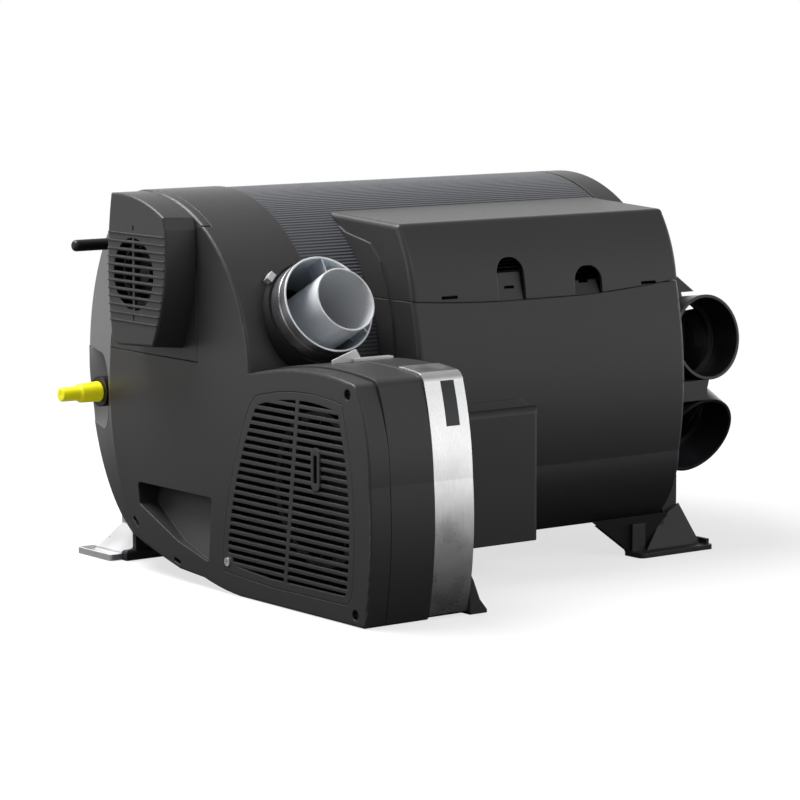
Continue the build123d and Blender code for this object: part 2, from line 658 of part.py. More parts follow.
# Foot under the fan box strip
footSide = [(boxEndX + 0.1, 32), (100, 26), (106, 11), (113, 2.5), (113, 0), (boxEndX + 0.1, 0)]
fanFoot = prismY(footSide, -2.0, 52)
fanFoot = fanFoot - prismY([(101.5, 16), (106, 4), (boxEndX + 3.2, 4), (boxEndX + 3.2, 16)], 2, 60)
save("fan_foot", fanFoot)

# End foot: floor plate, slanted web, arm to the left and a saddle under the drum
footHoleX = 426.3
footHolePitch = 16.0
plateFace = Pos(396, 110) * RectangleRounded(80, 24, 5) + Pos(416.5, 124) * RectangleRounded(39, 52, 4)
footHoles = Pos(footHoleX, 127) * Circle(3.3) + Pos(footHoleX, 127 + footHolePitch) * Circle(3.3)
plate = extrude(plateFace - footHoles, amount=4)
plateLip = block(433, 436, 104, 146, 3, 8)
slant = Plane(origin=(400, 109, 3), x_dir=(1, 0, 0), z_dir=Vector(0, -34, 17).normalized())
webFace = polygon((-29.3, 0), (31, 0), (21, 38), (-1, 28))
web = extrude(slant * webFace, amount=-3)
arm = prismY([(324.7, 27.8), (357.5, 4.3), (360, 0), (398, 0), (398, 27.8)], 118, 122)
rib = block(360, 374, 114, 118, 2, 26)
saddleX = 419.5
saddleYZ = polygon((127, 2), (127, 66), (150, 84), (206, 84), (232, 40), (160, 28), (148, 2))
saddle = prismX(saddleYZ, housingX1 + 1.0, saddleX) - roundX(jacketR + 0.05, 300, 480)
outletClear = outletRound(outletPlane(1), outletR + 0.6, -60, 60)
endFoot = plate + plateLip + web + arm + rib + saddle - outletClear
endFoot = endFoot - block(300, housingX1 + 1, 112, 260, 27.5, 120)
save("end_foot_front", endFoot)
rearShift = 26.0
rearFoot = Pos(0, -rearShift, 0) * mirror(plate + plateLip + web + arm + rib + saddle, about=backSide)
rearFoot = rearFoot + mirror(prismX(saddleYZ, housingX1 + 1.0, saddleX), about=backSide)
rearFoot = rearFoot - roundX(jacketR + 0.05, 300, 480) - mirror(outletClear, about=backSide)
save("end_foot_rear", rearFoot)

# Rear foot of the end cap: rubber pad bar, moulded rib and folded metal bracket
padBar = block(14, 50, 346, 354, 0, 8.5)
padBar = fillet(padBar.faces().sort_by(Axis.Z)[-1].edges(), 3.0)
save("foot_pad", padBar)
capFoot = block(24, 46, 347.5, 352.5, 8.5, 90) - roundX(capR + fit / 2, -1, 100)
save("cap_foot_rear", capFoot & block(20, 50, 340, 360, 8, 60))
tabFace = Pos(11.5, 379.5) * RectangleRounded(17, 51, 3)
tab = extrude(tabFace, amount=1.8) + extrude(tabFace - offset(tabFace, -1.6), amount=5)
tab = tab - Pos(11.5, 395, 0) * Cylinder(3.3, 12)
strapLine = [(16, 0), (18, 0), (46, 21), (46, 95), (44, 95), (44, 22), (16, 1.8)]
strap = prismY(strapLine, 356, 400) - roundX(capR + 0.05, -1, 100)
strap = strap & prismX(polygon((350, 0), (405, 0), (405, 90), (350, 60)), 0, 60)
save("foot_bracket", tab + strap)

# Latch tongues in the two cover notches, hooked behind the housing rim
latches = []
for notchX, notchZ, half in notchSpots:
    top = notchZ - 12
    line = [(housingY + 1, seamZ - 3), (housingY + 7, top), (housingY + 9.5, top), (housingY + 4.5, seamZ - 3)]
    line = line + [(housingY + 4.5, seamZ - 14), (housingY + 1, seamZ - 14)]
    tongue = prismX(polygon(*line), notchX - half + 1, notchX + half - 1)
    slit = block(notchX - 5, notchX + 5, 100, 125, seamZ + 6, seamZ + 8)
    latches.append(tongue - slit - housing)
save("cover_latches", *latches)

# Electronics under the service cover
boardY = housingY + 29.5
board = block(150, 384, boardY, boardY + 1.6, 128, 216)
standSpots = [(158, 134), (158, 210), (376, 134), (376, 210)]
for x, z in standSpots:
    board = board - Pos(x, boardY, z) * Rot(90, 0, 0) * Cylinder(1.7, 12)
save("circuit_board", board)
posts = []
for x, z in standSpots:
    post = Pos(x, boardY + 11.8, z) * Rot(90, 0, 0) * Cylinder(3.2, 20)
    posts.append(post - roundX(housingBack + wall, 100, 500))
terminals = []
for i in range(5):
    x = 170 + i * 42
    terminal = block(x, x + 32, boardY - 12, boardY, 196, 212)
    for j in range(4):
        hole = Pos(x + 5 + j * 7.4, boardY - 12, 204) * Rot(90, 0, 0) * Cylinder(2.0, 8)
        terminal = terminal - hole
    terminals.append(terminal)
save("terminal_blocks", *terminals)
relays = [block(172 + i * 26, 190 + i * 26, boardY - 14, boardY, 150, 178) for i in range(4)]
save("relays", *relays)
save("board_posts", *posts)

# Water tank round the burner, open ring with closed ends
tankR = jacketR - 21.4
tankHole = 66.0
tankX0 = 150.0
tankX1 = 392.0
tank = ringX(tankR, tankHole, tankX0, tankX1) - ringX(tankR - 1.5, tankHole + 1.5, tankX0 + 1.5, tankX1 - 1.5)
rods = [roundX(4, 165, tankX1 + 8, axisY + y, axisZ + 90) for y in (-16, 16)]
sensor = roundX(5, tankX1, tankX1 + 9, axisY, axisZ - 92) + roundX(2.5, 360, tankX1, axisY, axisZ - 92)
for y in (-16, 16):
    tank = tank - roundX(4.05, tankX1 - 5, tankX1 + 5, axisY + y, axisZ + 90)
tank = tank - roundX(2.55, tankX1 - 5, tankX1 + 5, axisY, axisZ - 92)
save("water_tank", tank)
bulkheadR = jacketR - jacketThick - 0.1
bulkhead = ringX(bulkheadR, 52.1, tankX0 - 3, tankX0)
save("bulkhead", bulkhead)
plateX = 104.0
exchanger = ringX(52, 49.5, plateX, 380) + roundX(52, 377, 380)
for i in range(12):
    fin = Rot(30 * i, 0, 0) * block(160, 370, -1, 1, 50, 64)
    exchanger = exchanger + Pos(0, axisY, axisZ) * fin
save("heat_exchanger", exchanger)
burner = ringX(24, 22.5, 90, 260) + ringX(jacketR - 13.4, 22.5, plateX - 3, plateX)
for i in range(8):
    port = Pos(0, axisY, axisZ) * Rot(45 * i, 0, 0) * Pos(240, 0, 22) * Cylinder(3, 12)
    burner = burner - port
save("burner_tube", burner)
save("heating_rods", *rods)
save("temperature_sensor", sensor)

# Gas valve on the burner plate
valve = block(62.1, plateX - 3, hoseY - 32, hoseY + 8, hoseZ - 25, hoseZ + 11)
valve = valve + roundX(11, 56, 62.1, hoseY - 16, hoseZ - 9) + Pos(80, hoseY - 12, hoseZ + 15) * Cylinder(9, 8)
valve = valve - roundX(pipeR - 1.4, 50, 62.1, hoseY, hoseZ)
save("gas_valve", valve)


# Bladed wheel on a short shaft, its back plate at x1
def wheel(radius, x0, x1, count, y, z, reach):
    turned = roundX(radius, x1 - 2, x1, y, z) + ringX(radius, radius * 0.9, x0, x0 + 2, y, z)
    for i in range(count):
        blade = Rot(i * 360 / count, 0, 0) * Pos(0, radius * 0.87, 0) * Rot(32, 0, 0)
        blade = blade * Box(x1 - x0 - 2, radius * 0.2, 1.4)
        turned = turned + Pos((x0 + x1) / 2 - 0.5, y, z) * blade
    hub = roundX(shaftR + 4, x1 - 12, x1, y, z)
    return turned + hub + roundX(shaftR, x1, x1 + reach, y, z)


fanX0 = 26.0
fanX1 = 68.0
save("fan_wheel", wheel(fanR, fanX0, fanX1, 20, fanY, fanZ, 18))
motor = roundX(27, fanX1 + 2, 90, fanY, fanZ) + roundX(36, 90, boxEndX - wall, fanY, fanZ)
motor = motor - roundX(shaftR + shaftGap, fanX1, fanX1 + 20, fanY, fanZ)
save("fan_motor", motor)
blowX0 = -21.0
blowX1 = -5.0
save("blower_wheel", wheel(blowerR, blowX0, blowX1, 12, ventY, ventZ, 14))
blower = roundX(19, blowX1 + 2, 40, ventY, ventZ)
carrier = block(wall + 2.5, wall + 5, panelY + 2, 302, panelZ + 3, 286) & roundX(capR - wall - 0.5, 0, 20)
carrier = carrier & conePart(wall + 1)
blower = blower + carrier - roundX(shaftR + shaftGap, blowX1 - 1, blowX1 + 16, ventY, ventZ)
save("blower_motor", blower)
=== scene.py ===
import bpy
import json
import numpy as np
from math import radians
from mathutils import Matrix


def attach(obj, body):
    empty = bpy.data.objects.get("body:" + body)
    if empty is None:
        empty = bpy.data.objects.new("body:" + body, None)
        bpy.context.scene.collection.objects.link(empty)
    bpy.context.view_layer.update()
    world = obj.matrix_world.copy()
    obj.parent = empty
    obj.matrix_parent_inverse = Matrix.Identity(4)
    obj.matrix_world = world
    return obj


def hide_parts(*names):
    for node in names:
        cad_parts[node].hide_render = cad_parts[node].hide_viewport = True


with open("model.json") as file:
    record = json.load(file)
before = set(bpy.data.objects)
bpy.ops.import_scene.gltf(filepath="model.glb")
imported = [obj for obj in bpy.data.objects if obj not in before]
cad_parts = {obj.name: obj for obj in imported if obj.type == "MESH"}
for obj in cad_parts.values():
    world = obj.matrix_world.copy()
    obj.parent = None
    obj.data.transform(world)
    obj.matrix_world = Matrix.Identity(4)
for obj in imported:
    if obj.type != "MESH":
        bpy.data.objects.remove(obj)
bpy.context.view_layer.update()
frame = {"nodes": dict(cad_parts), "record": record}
nodes = frame["nodes"]
home = np.array((-0.2237, -0.23052744, 0.0))  # where the zero point of the heater's drawing lies
drum = {"axisY": 0.0587726, "axisZ": 0.1674}  # the drum lies along X
print("frame loaded:", len(nodes), "nodes")


def addNode(tree, kind, **values):
    made = tree.nodes.new(kind)
    for name, value in values.items():
        setattr(made, name, value)
    return made


# Fills a socket: another node's output is linked to it, and a number, vector or colour is set
def feed(tree, socket, value):
    if isinstance(value, bpy.types.NodeSocket):
        tree.links.new(value, socket)
    elif socket.type == "RGBA":
        socket.default_value = (*value, 1)
    else:
        socket.default_value = value


def mathOf(tree, operation, *values, kind="ShaderNodeMath", output="Value"):
    made = addNode(tree, kind, operation=operation)
    for socket, value in zip(made.inputs, values):
        feed(tree, socket, value)
    return made.outputs[output]


def vectorOf(tree, operation, *values, output="Vector"):
    return mathOf(tree, operation, *values, kind="ShaderNodeVectorMath", output=output)


def startMaterial(name):
    material = bpy.data.materials.new(name)
    material.use_nodes = True
    tree = material.node_tree
    coords = addNode(tree, "ShaderNodeTexCoord")
    return material, tree, tree.nodes["Principled BSDF"], coords.outputs["Object"]


def noiseOf(tree, point, scale, detail=2.0, stretch=(1, 1, 1)):
    mapping = addNode(tree, "ShaderNodeMapping")
    feed(tree, mapping.inputs["Vector"], point)
    feed(tree, mapping.inputs["Scale"], stretch)
    noise = addNode(tree, "ShaderNodeTexNoise")
    feed(tree, noise.inputs["Vector"], mapping.outputs["Vector"])
    feed(tree, noise.inputs["Scale"], scale)
    feed(tree, noise.inputs["Detail"], detail)
    return noise.outputs["Fac"]


def rangeOf(tree, value, span, reach=(0, 1)):
    ramp = addNode(tree, "ShaderNodeMapRange")
    feed(tree, ramp.inputs["Value"], value)
    for name, number in zip(("From Min", "From Max", "To Min", "To Max"), (*span, *reach)):
        feed(tree, ramp.inputs[name], number)
    return ramp.outputs["Result"]


def blendOf(tree, factor, first, second, kind="RGBA"):
    mix = addNode(tree, "ShaderNodeMix", data_type=kind)
    feed(tree, mix.inputs["Factor"], factor)
    feed(tree, mix.inputs["A"], first)
    feed(tree, mix.inputs["B"], second)
    return mix.outputs["Result"]


def bumpOf(tree, height, depth, under=None):
    bump = addNode(tree, "ShaderNodeBump")
    feed(tree, bump.inputs["Height"], height)
    feed(tree, bump.inputs["Distance"], depth)
    if under:
        feed(tree, bump.inputs["Normal"], under)
    return bump.outputs["Normal"]


# What all finishes share
surface = {
    "grainDetail": 3.0,
    "noiseSpan": (0.3, 0.7),  # where most values of a noise lie
    "lineSpan": (0.35, 0.65),  # narrower, so that brushed lines stay crisp
    "plasticSwing": 0.05,  # how far the roughness goes either way
    "metalSwing": 0.06,
    "edgeSamples": 6,
}


def shaded(color, amount):
    return tuple(part * (1 + amount) for part in color)


def roughnessOf(tree, noise, middle, swing):
    return rangeOf(tree, noise, surface["noiseSpan"], (middle - swing, middle + swing))


def roundedEdge(tree, radius):
    bevel = addNode(tree, "ShaderNodeBevel", samples=surface["edgeSamples"])
    feed(tree, bevel.inputs["Radius"], radius)
    return bevel.outputs["Normal"]


# Moulded plastic: fine spark grain in bump and roughness, a faint cloudy tone, edges rounded by the shader
def mouldedPlastic(name, look):
    material, tree, shader, point = startMaterial(name)
    grain = noiseOf(tree, point, look["grainScale"], surface["grainDetail"])
    cloud = rangeOf(tree, noiseOf(tree, point, look["cloudScale"]), surface["noiseSpan"])
    dark, light = shaded(look["color"], -look["cloudAmount"]), shaded(look["color"], look["cloudAmount"])
    feed(tree, shader.inputs["Base Color"], blendOf(tree, cloud, dark, light))
    feed(tree, shader.inputs["Roughness"], roughnessOf(tree, grain, look["rough"], surface["plasticSwing"]))
    edge = roundedEdge(tree, look["edge"])
    feed(tree, shader.inputs["Normal"], bumpOf(tree, grain, look["grainDepth"], edge))
    if "glow" in look:  # painted light: a glow lifts the bright yellow to the tone it was matched to, brighter than the lamps light it
        feed(tree, shader.inputs["Emission Color"], look["color"])
        feed(tree, shader.inputs["Emission Strength"], look["glow"])
    return material


# Brushed metal: noise stretched along the brushing drives bump and tone, and spots drive the roughness
def brushedMetal(name, look):
    material, tree, shader, point = startMaterial(name)
    lines = noiseOf(tree, point, look["lineScale"], stretch=look["stretch"])
    spots = noiseOf(tree, point, look["spotScale"], surface["grainDetail"])
    tone = rangeOf(tree, lines, surface["lineSpan"])
    dark = shaded(look["color"], -look["lineTone"])
    feed(tree, shader.inputs["Base Color"], blendOf(tree, tone, dark, look["color"]))
    feed(tree, shader.inputs["Metallic"], look["metallic"])
    feed(tree, shader.inputs["Roughness"], roughnessOf(tree, spots, look["rough"], surface["metalSwing"]))
    edge = roundedEdge(tree, look["edge"])
    feed(tree, shader.inputs["Normal"], bumpOf(tree, lines, look["lineDepth"], edge))
    return material


# Ribbed sheet: the sine of the angle round the drum axis times the rib count, as bump height and as painted
# shade, darker in the rib hollows and lighter on the crests
def ribbedSheet(name, look):
    material, tree, shader, point = startMaterial(name)
    centred = addNode(tree, "ShaderNodeMapping")
    feed(tree, centred.inputs["Vector"], point)
    feed(tree, centred.inputs["Location"], (0, -drum["axisY"], -drum["axisZ"]))
    parts = addNode(tree, "ShaderNodeSeparateXYZ")
    feed(tree, parts.inputs["Vector"], centred.outputs["Vector"])
    angle = mathOf(tree, "ARCTAN2", parts.outputs["Z"], parts.outputs["Y"])
    wave = mathOf(tree, "SINE", mathOf(tree, "MULTIPLY", angle, look["ribs"]))
    ribs = rangeOf(tree, wave, (-1, 1))
    # painted shade in the rib hollows and painted light on the rib crests
    hollowShade, crestLight = shaded(look["color"], -look["ribShade"]), shaded(look["color"], look["ribShade"])
    feed(tree, shader.inputs["Base Color"], blendOf(tree, ribs, hollowShade, crestLight))
    grain = noiseOf(tree, point, look["grainScale"], surface["grainDetail"])
    feed(tree, shader.inputs["Roughness"], roughnessOf(tree, grain, look["rough"], surface["metalSwing"]))
    fine = bumpOf(tree, grain, look["grainDepth"])
    feed(tree, shader.inputs["Normal"], bumpOf(tree, ribs, look["ribDepth"], fine))
    return material


plasticLooks = {
    "moulding": dict(color=(0.0370, 0.0345, 0.0355), rough=0.44, grainScale=1300, grainDepth=0.00006,
                     cloudScale=9, cloudAmount=0.05, edge=0.0012),
    "outlet_plastic": dict(color=(0.022, 0.019, 0.023), rough=0.33, grainScale=1500, grainDepth=0.00004,
                           cloudScale=14, cloudAmount=0.08, edge=0.0010),
    # seal_rubber: black rubber, made darker still by painted shade of the gap round the flue
    "seal_rubber": dict(color=(0.003, 0.003, 0.003), rough=0.85, grainScale=1800, grainDepth=0.00006,
                        cloudScale=20, cloudAmount=0.12, edge=0.0008),
    "black_steel": dict(color=(0.018, 0.018, 0.019), rough=0.38, grainScale=2200, grainDepth=0.00003,
                        cloudScale=30, cloudAmount=0.10, edge=0.0004),
    # the yellow cap's glow is painted light, not a lamp
    "yellow_plastic": dict(color=(0.96, 0.90, 0.012), rough=0.34, grainScale=1600, grainDepth=0.00004,
                           cloudScale=25, cloudAmount=0.05, edge=0.0007, glow=0.22),
    "black_plastic": dict(color=(0.006, 0.005, 0.006), rough=0.45, grainScale=1500, grainDepth=0.00005,
                          cloudScale=22, cloudAmount=0.10, edge=0.0007),
    "pad_rubber": dict(color=(0.020, 0.018, 0.024), rough=0.55, grainScale=1800, grainDepth=0.00008,
                       cloudScale=22, cloudAmount=0.12, edge=0.0010),
    "window": dict(color=(0.022, 0.028, 0.034), rough=0.16, grainScale=900, grainDepth=0.00001,
                   cloudScale=40, cloudAmount=0.15, edge=0.0003),
    "board": dict(color=(0.020, 0.120, 0.050), rough=0.30, grainScale=700, grainDepth=0.00004,
                  cloudScale=60, cloudAmount=0.25, edge=0.0002),
    "terminal": dict(color=(0.040, 0.150, 0.060), rough=0.42, grainScale=1500, grainDepth=0.00004,
                     cloudScale=40, cloudAmount=0.10, edge=0.0004),
    "relay": dict(color=(0.015, 0.015, 0.016), rough=0.28, grainScale=1500, grainDepth=0.00003,
                  cloudScale=40, cloudAmount=0.10, edge=0.0004),
    "wheel_plastic": dict(color=(0.050, 0.050, 0.052), rough=0.45, grainScale=1500, grainDepth=0.00004,
                          cloudScale=30, cloudAmount=0.10, edge=0.0004),
    "motor_metal": dict(color=(0.090, 0.090, 0.095), rough=0.40, grainScale=1200, grainDepth=0.00004,
                        cloudScale=30, cloudAmount=0.10, edge=0.0005),
}
metalLooks = {
    "strip_metal": dict(color=(0.93, 0.93, 0.93), metallic=1.0, rough=0.30, lineScale=30,
                        stretch=(60, 60, 1.5), spotScale=40, lineTone=0.10, lineDepth=0.00003, edge=0.0004),
    "flue_metal": dict(color=(0.56, 0.61, 0.67), metallic=0.35, rough=0.38, lineScale=40,
                       stretch=(12, 12, 12), spotScale=160, lineTone=0.08, lineDepth=0.00002, edge=0.0004),
    "bright_steel": dict(color=(0.80, 0.80, 0.81), metallic=0.60, rough=0.32, lineScale=30,
                         stretch=(1, 1, 1), spotScale=40, lineTone=0.06, lineDepth=0.00003, edge=0.0004),
    "tank_steel": dict(color=(0.55, 0.55, 0.56), metallic=1.0, rough=0.42, lineScale=60,
                       stretch=(2, 14, 14), spotScale=200, lineTone=0.12, lineDepth=0.00003, edge=0.0005),
    "exchanger": dict(color=(0.50, 0.50, 0.51), metallic=1.0, rough=0.50, lineScale=500,
                      stretch=(1, 1, 1), spotScale=300, lineTone=0.15, lineDepth=0.00010, edge=0.0006),
    "valve_brass": dict(color=(0.60, 0.42, 0.16), metallic=1.0, rough=0.30, lineScale=60,
                        stretch=(12, 12, 12), spotScale=260, lineTone=0.15, lineDepth=0.00003, edge=0.0004),
}
# the rib tone paints shade in the rib hollows and light on the rib crests
jacketLook = dict(color=(0.060, 0.064, 0.073), rough=0.40, ribs=280, ribShade=0.25, ribDepth=0.0006,
                  grainScale=900, grainDepth=0.00003)
materials = {name: mouldedPlastic(name, look) for name, look in plasticLooks.items()}
materials.update({name: brushedMetal(name, look) for name, look in metalLooks.items()})
materials["jacket"] = ribbedSheet("jacket", jacketLook)
slots = {row["node"]: row["material_slot"] for row in frame["record"]["subparts"]}
for name, piece in nodes.items():
    piece.data.materials.clear()
    piece.data.materials.append(materials[slots[name]])
print("materials on the frame:", len(materials))


# A piece from its points and groups of faces; zones gives each face the number of its finish
def meshPiece(name, points, faceGroups, finishes, zones=None, smooth=True):
    mesh = bpy.data.meshes.new(name)
    faces = [face for group in faceGroups for face in group.tolist()]
    mesh.from_pydata(points.reshape(-1, 3).tolist(), [], faces)
    for finish in finishes:
        mesh.materials.append(finish)
    if zones is not None:
        mesh.polygons.foreach_set("material_index", zones.astype(np.int32).ravel())
    mesh.polygons.foreach_set("use_smooth", np.full(len(faces), smooth))
    mesh.update()
    piece = bpy.data.objects.new(name, mesh)
    bpy.context.scene.collection.objects.link(piece)
    return piece


# Closed outline with soft corners: each corner becomes a quadratic curve, (1 - t) squared times a point
# a little before it, plus 2 t (1 - t) times the corner, plus t squared times a point a little after it
def softOutline(outline, radius, steps=4, mostOfSide=0.45):
    corner = np.array(outline, float)
    before = np.roll(corner, 1, axis=0) - corner
    after = np.roll(corner, -1, axis=0) - corner
    lengthBefore = np.linalg.norm(before, axis=1, keepdims=True)
    lengthAfter = np.linalg.norm(after, axis=1, keepdims=True)
    start = corner + before / lengthBefore * np.minimum(radius, lengthBefore * mostOfSide)
    end = corner + after / lengthAfter * np.minimum(radius, lengthAfter * mostOfSide)
    t = np.linspace(0, 1, steps)[None, :, None]
    curve = (1 - t) ** 2 * start[:, None] + 2 * t * (1 - t) * corner[:, None] + t ** 2 * end[:, None]
    return curve.reshape(-1, 2)


# Faces of a grid of rings: each point, its neighbour round the ring, and the same two of the next ring,
# with the last ring joined to the first unless the grid ends in poles
def ringFaces(rings, around, poles=False):
    ring, step = np.meshgrid(np.arange(rings - 1 if poles else rings), np.arange(around), indexing="ij")
    nextRing, nextStep = (ring + 1) % rings, (step + 1) % around
    corners = [nextRing * around + step, nextRing * around + nextStep,
               ring * around + nextStep, ring * around + step]
    return np.stack(corners, axis=-1).reshape(-1, 4)


# Turned piece: an outline of (radius, way) about an axis, each point at the centre, plus the way along
# the axis, plus the radius times (cosine of the turn to one side and sine of it upward)
def turnedPiece(name, outline, centre, axis, finishes, zoneOf=None, around=144, poles=None):
    axis = np.array(axis, float) / np.linalg.norm(axis)
    side = np.array((1.0, 0.0, 0.0)) if abs(axis[0]) < 0.9 else np.array((0.0, 1.0, 0.0))
    up = np.cross(axis, side)
    up /= np.linalg.norm(up)
    side = np.cross(up, axis)
    turn = np.linspace(0, 2 * np.pi, around, endpoint=False)
    wheel = np.cos(turn)[:, None] * side + np.sin(turn)[:, None] * up
    points = np.array(centre) + outline[:, None, 1:2] * axis + outline[:, None, 0:1] * wheel[None]
    points = points.reshape(-1, 3)
    faceGroups = [ringFaces(len(outline), around, poles is not None)]
    if poles is not None:  # a fan of triangles from each pole to the ring beside it
        step = np.arange(around)
        follow = (step + 1) % around
        lastRing = (len(outline) - 1) * around
        firstPole, lastPole = np.full(around, len(points)), np.full(around, len(points) + 1)
        faceGroups.append(np.stack([firstPole, step, follow], axis=-1))
        faceGroups.append(np.stack([lastPole, follow + lastRing, step + lastRing], axis=-1))
        points = np.concatenate([points, np.array(centre) + np.array(poles)[:, None] * axis])
    zones = None
    if zoneOf is not None:
        middle = (outline + np.roll(outline, -1, axis=0)) / 2
        zones = np.repeat(zoneOf(middle[:, 0], middle[:, 1]), around)
    return meshPiece(name, points, faceGroups, finishes, zones)


# Flue tubes: thin walls with a rolled rim, in lit and shaded copies of one metal: the rim and the inside are
# brighter than the outside, with a painted highlight on the rim, painted light over the inner tube and
# painted shade inside the outer tube
flue = {
    "mouth": (-0.1612, -0.1001274, 0.2264036),
    "lean": (0, -np.cos(radians(27)), np.sin(radians(27))),
    "outer": dict(radius=0.0396, wall=0.0016, front=0.0, back=-0.060, swell=0.0005, swellAt=-0.008),
    "inner": dict(radius=0.0262, wall=0.0016, front=0.0076, back=-0.0618),
    "innerShift": 0.0114,  # how far the inner tube stands off the middle
    "rim": 0.0011,  # width of the rim band with the painted highlight
    "soft": 0.0006,
}
# base look of the insides: painted light over the inner tube, painted shade inside the outer tube
flueInside = dict(metallic=0.12, rough=0.36, lineScale=40, stretch=(12, 12, 12), spotScale=160,
                  lineTone=0.06, lineDepth=0.00002, edge=0.0003)
# painted highlight on the rim, painted light on the inner tube, painted shade in the gap
flueLooks = {
    "flue_rim_painted_highlight": dict(color=(0.95, 0.96, 0.98), metallic=0.10, rough=0.22, lineScale=60,
                     stretch=(10, 10, 10), spotScale=300, lineTone=0.05, lineDepth=0.00001, edge=0.0003),
    "flue_outside": dict(color=(0.34, 0.34, 0.36), metallic=0.90, rough=0.30, lineScale=12,
                         stretch=(1, 1, 1), spotScale=60, lineTone=0.10, lineDepth=0.00001, edge=0.0003),
    "flue_gap_painted_shade": dict(flueInside, color=(0.60, 0.65, 0.70)),
    "flue_inner_painted_light": dict(flueInside, color=(0.95, 0.97, 1.00)),
}
rimHighlightMetal, tubeMetal, gapShadeMetal, innerLightMetal = [brushedMetal(name, look) for name, look in flueLooks.items()]


# Flue tube: its outline runs down the outside, over a swell where it has one, and back up the bore
def flueTube(name, tube, mouth, finishes):
    radius, bore = tube["radius"], tube["radius"] - tube["wall"]
    outside = [(radius, tube["front"])]
    if "swell" in tube:
        outside.append((radius, tube["swellAt"]))
        outside.append((radius + tube["swell"], tube["swellAt"] - flue["soft"]))
    outside.append((radius + tube.get("swell", 0), tube["back"]))
    outline = softOutline(outside + [(bore, tube["back"]), (bore, tube["front"])], flue["soft"])

    def zoneOf(radii, ways):  # 0 the rim, 1 the outside, 2 the inside; each takes its own lit or shaded copy of the metal
        outer = np.where(radii > radius - tube["wall"] / 2, 1, 2)
        return np.where(ways > tube["front"] - flue["rim"], 0, outer)

    return turnedPiece(name, outline, mouth, flue["lean"], finishes, zoneOf)


flueOuter = flueTube("flue_outer_tube", flue["outer"], flue["mouth"], [rimHighlightMetal, tubeMetal, gapShadeMetal])
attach(flueOuter, "heater")
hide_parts("flue_outer")
innerMouth = np.array(flue["mouth"]) + (flue["innerShift"], 0, 0)
flueInner = flueTube("flue_inner_tube", flue["inner"], innerMouth, [rimHighlightMetal, innerLightMetal, innerLightMetal])
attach(flueInner, "heater")
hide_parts("flue_inner", "flue_elbow")
print("flue tubes made")

# Yellow transport cap: a wide sleeve with a rounded lip, a step, and a slimmer closed end, turned about
# the pipe; the outline runs out of the hollow, over the lip and along to the tip
yellowCap = {
    "centre": (-0.2237, 0.1394726, 0.1385), "axis": (1, 0, 0), "around": 96,
    "hollow": 0.00508, "lip": 0.0084, "sleeve": 0.0082,  # radii
    "neck": 0.0078, "end": 0.0059, "tip": 0.0056,
    "lipAt": 0.0037, "lipWidth": 0.0024, "lipSlope": 0.0008,  # ways along the axis
    "hollowEnd": -0.0125, "stepAt": -0.0150, "stepSlope": 0.0016, "tipAt": -0.0326,
    "core": 0.0004,  # radius at which the outline turns toward a pole
    "soft": 0.0010, "softSteps": 5,
}
lipEnd = yellowCap["lipAt"] - yellowCap["lipWidth"]
outline = softOutline([
    (yellowCap["hollow"], yellowCap["hollowEnd"]), (yellowCap["hollow"], yellowCap["lipAt"]),
    (yellowCap["lip"], yellowCap["lipAt"]), (yellowCap["lip"], lipEnd),
    (yellowCap["sleeve"], lipEnd - yellowCap["lipSlope"]), (yellowCap["neck"], yellowCap["stepAt"]),
    (yellowCap["end"], yellowCap["stepAt"] - yellowCap["stepSlope"]), (yellowCap["tip"], yellowCap["tipAt"]),
    (yellowCap["core"], yellowCap["tipAt"]), (yellowCap["core"], yellowCap["hollowEnd"]),
], yellowCap["soft"], yellowCap["softSteps"])
halfCorner = yellowCap["softSteps"] // 2
outline = outline[halfCorner:-yellowCap["softSteps"] - halfCorner]  # the poles take the line along the axis
yellowPiece = turnedPiece("yellow_transport_cap", outline, yellowCap["centre"], yellowCap["axis"],
                          [materials["yellow_plastic"]], around=yellowCap["around"],
                          poles=(yellowCap["hollowEnd"], yellowCap["tipAt"]))
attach(yellowPiece, "yellow_cap")
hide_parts("yellow_cap")
print("yellow cap made")

# Back plate of the end cap's lower part: a sheet whose rows share out the height between the moulding's
# floor edge and the drum's circle, pushed back and forth by the sine of the way along Y
backPlate = {
    "x": (-0.2057, -0.2045), "y": (-0.040, 0.102), "columns": 72, "rows": 14,
    "edgeY": (163, 190, 213, 247, 290, 332), "edgeZ": (0, 2.8, 7.4, 9.6, 20.5, 33.4),  # floor edge in mm
    "edgeGap": 0.0032, "drumRadius": 0.1390, "drumLap": 0.0010, "highest": 0.051, "least": 0.0004,
    "ribPitch": 0.012, "ribHeight": 0.0004,
}
columnY = np.linspace(*backPlate["y"], backPlate["columns"])
edgeY = np.array(backPlate["edgeY"]) / 1000 + home[1]
edgeZ = np.array(backPlate["edgeZ"]) / 1000 + backPlate["edgeGap"]
lowZ = np.interp(columnY, edgeY, edgeZ)
drumSquare = np.maximum(backPlate["drumRadius"] ** 2 - (columnY - drum["axisY"]) ** 2, 0)
highZ = drum["axisZ"] - np.sqrt(drumSquare) + backPlate["drumLap"]
highZ = np.maximum(np.minimum(highZ, backPlate["highest"]), lowZ + backPlate["least"])
sheetZ = lowZ + (highZ - lowZ) * np.linspace(0, 1, backPlate["rows"])[:, None]
sheetY = np.broadcast_to(columnY, sheetZ.shape)
wave = backPlate["ribHeight"] * np.sin(sheetY / backPlate["ribPitch"] * 2 * np.pi)
frontFace, backFace = [np.stack([x + wave, sheetY, sheetZ], axis=-1) for x in backPlate["x"]]
loopRows = np.concatenate([frontFace, backFace[::-1]])  # front going up, then the back going down
rows, columns = loopRows.shape[:2]
row, column = np.meshgrid(np.arange(rows), np.arange(columns - 1), indexing="ij")
below, above = row * columns + column, (row + 1) % rows * columns + column
